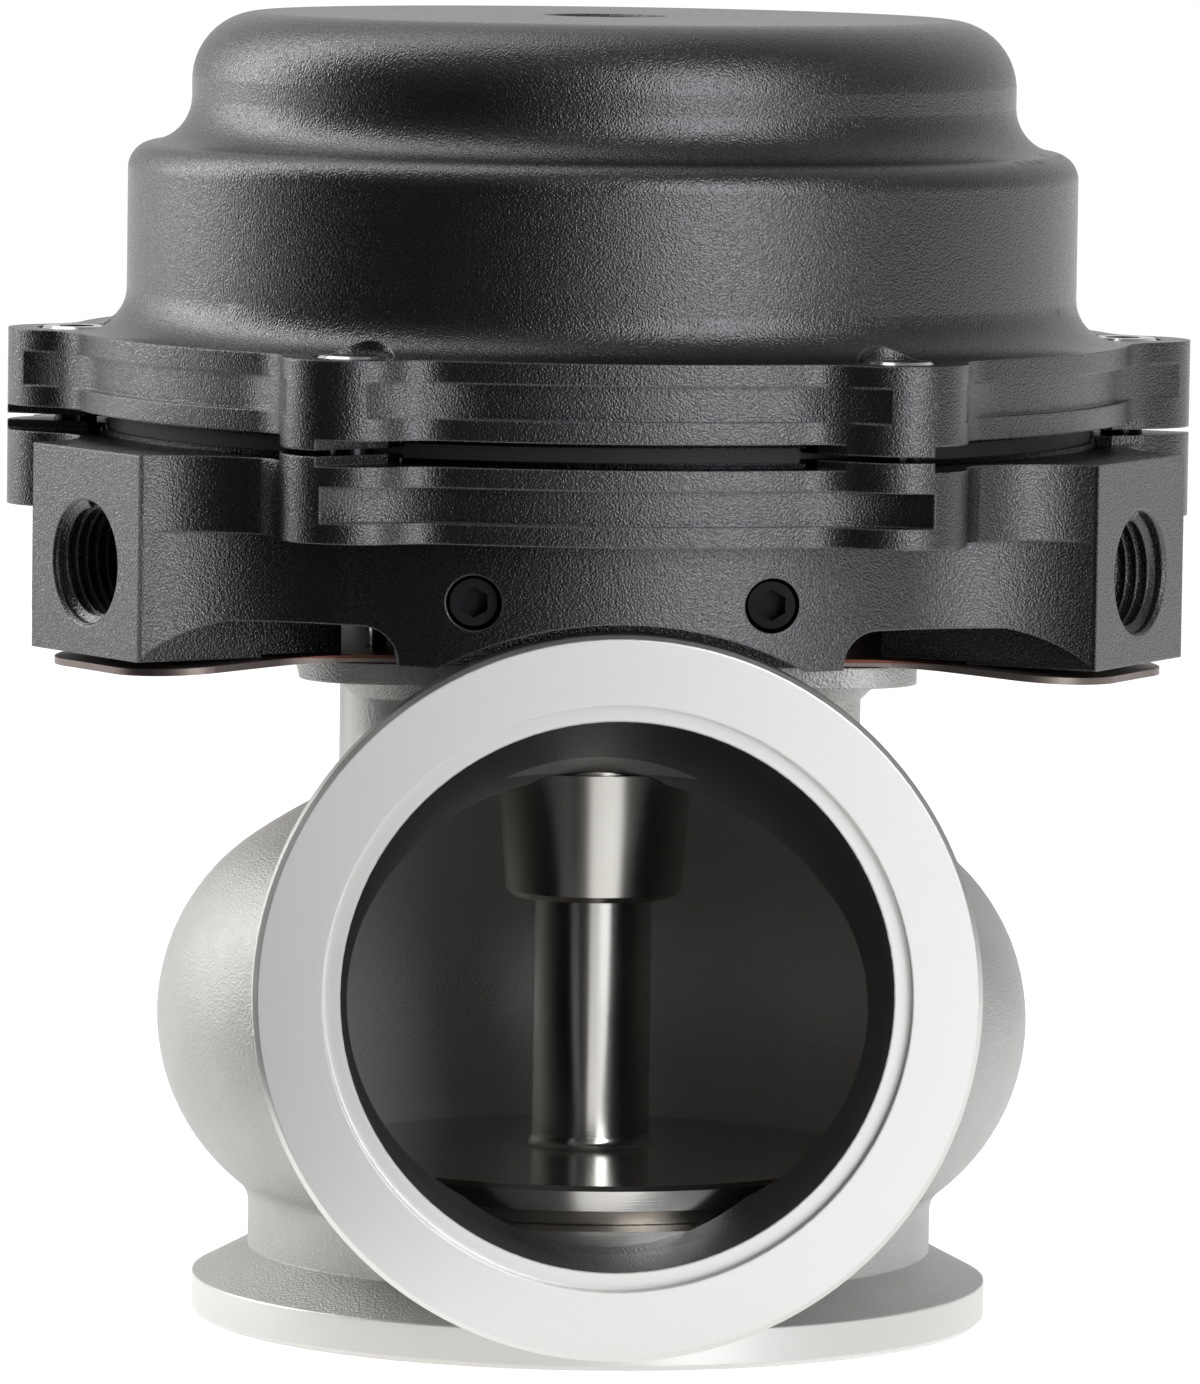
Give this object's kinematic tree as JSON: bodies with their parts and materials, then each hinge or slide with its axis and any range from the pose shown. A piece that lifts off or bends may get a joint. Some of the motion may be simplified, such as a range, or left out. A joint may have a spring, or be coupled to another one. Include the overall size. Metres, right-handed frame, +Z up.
{
  "type": "turbo wastegate",
  "caption": "External turbocharger wastegate: a spring-loaded diaphragm above lifts a poppet valve in a round cast body with V-band inlet and outlet.",
  "frame": {"origin": "centre of the inlet V-band face, on the stem axis", "axes": "+Z up along the valve stem towards the actuator, -Y out of the outlet, +X to the right seen from the outlet"},
  "size_m": [0.0976, 0.0874, 0.1075],
  "materials": {
    "cast_steel": "bead-blasted cast stainless steel, joint faces machined bright",
    "machined_steel": "turned stainless steel, bright",
    "guide_bronze": "turned bronze alloy, darkened",
    "gasket": "pressed fibre gasket, brown grey",
    "shield_steel": "thin stainless sheet with a heat tint on its edge",
    "black_anodised": "bead-blasted black anodised aluminium, fine grain",
    "black_steel": "black oxide steel",
    "seal_rubber": "black moulded rubber",
    "spring_steel": "oiled spring steel wire",
    "bright_screw": "bright stainless steel",
    "plain_aluminium": "turned bare aluminium"
  },
  "bodies": {
    "housing": {"valve_body": "cast_steel", "valve_seat": "machined_steel", "valve_guide": "guide_bronze", "body_gasket": "gasket", "heat_shield": "shield_steel", "lower_housing": "black_anodised", "passage_plugs": "black_steel", "stem_bushing": "guide_bronze", "stem_seal": "seal_rubber", "seal_retaining_ring": "spring_steel", "mounting_screws": "bright_screw", "screw_washers": "bright_screw", "diaphragm": "seal_rubber", "outer_spring": "spring_steel", "inner_spring": "spring_steel", "upper_housing": "black_anodised", "cap_screws": "bright_screw"},
    "valve_train": {"valve": "machined_steel", "lower_retainer": "plain_aluminium", "upper_retainer": "plain_aluminium", "nut_washer": "bright_screw", "stem_nut": "bright_screw"}
  },
  "joints": [
    {"name": "valve_lift", "type": "slide", "parent": "housing", "child": "valve_train", "axis": [0, 0, 1], "range_m": [0, 0.012], "stiffness_N_per_m": 12000, "springref_m": -0.0145, "deforming": ["outer_spring", "inner_spring", "diaphragm"]}
  ]
}
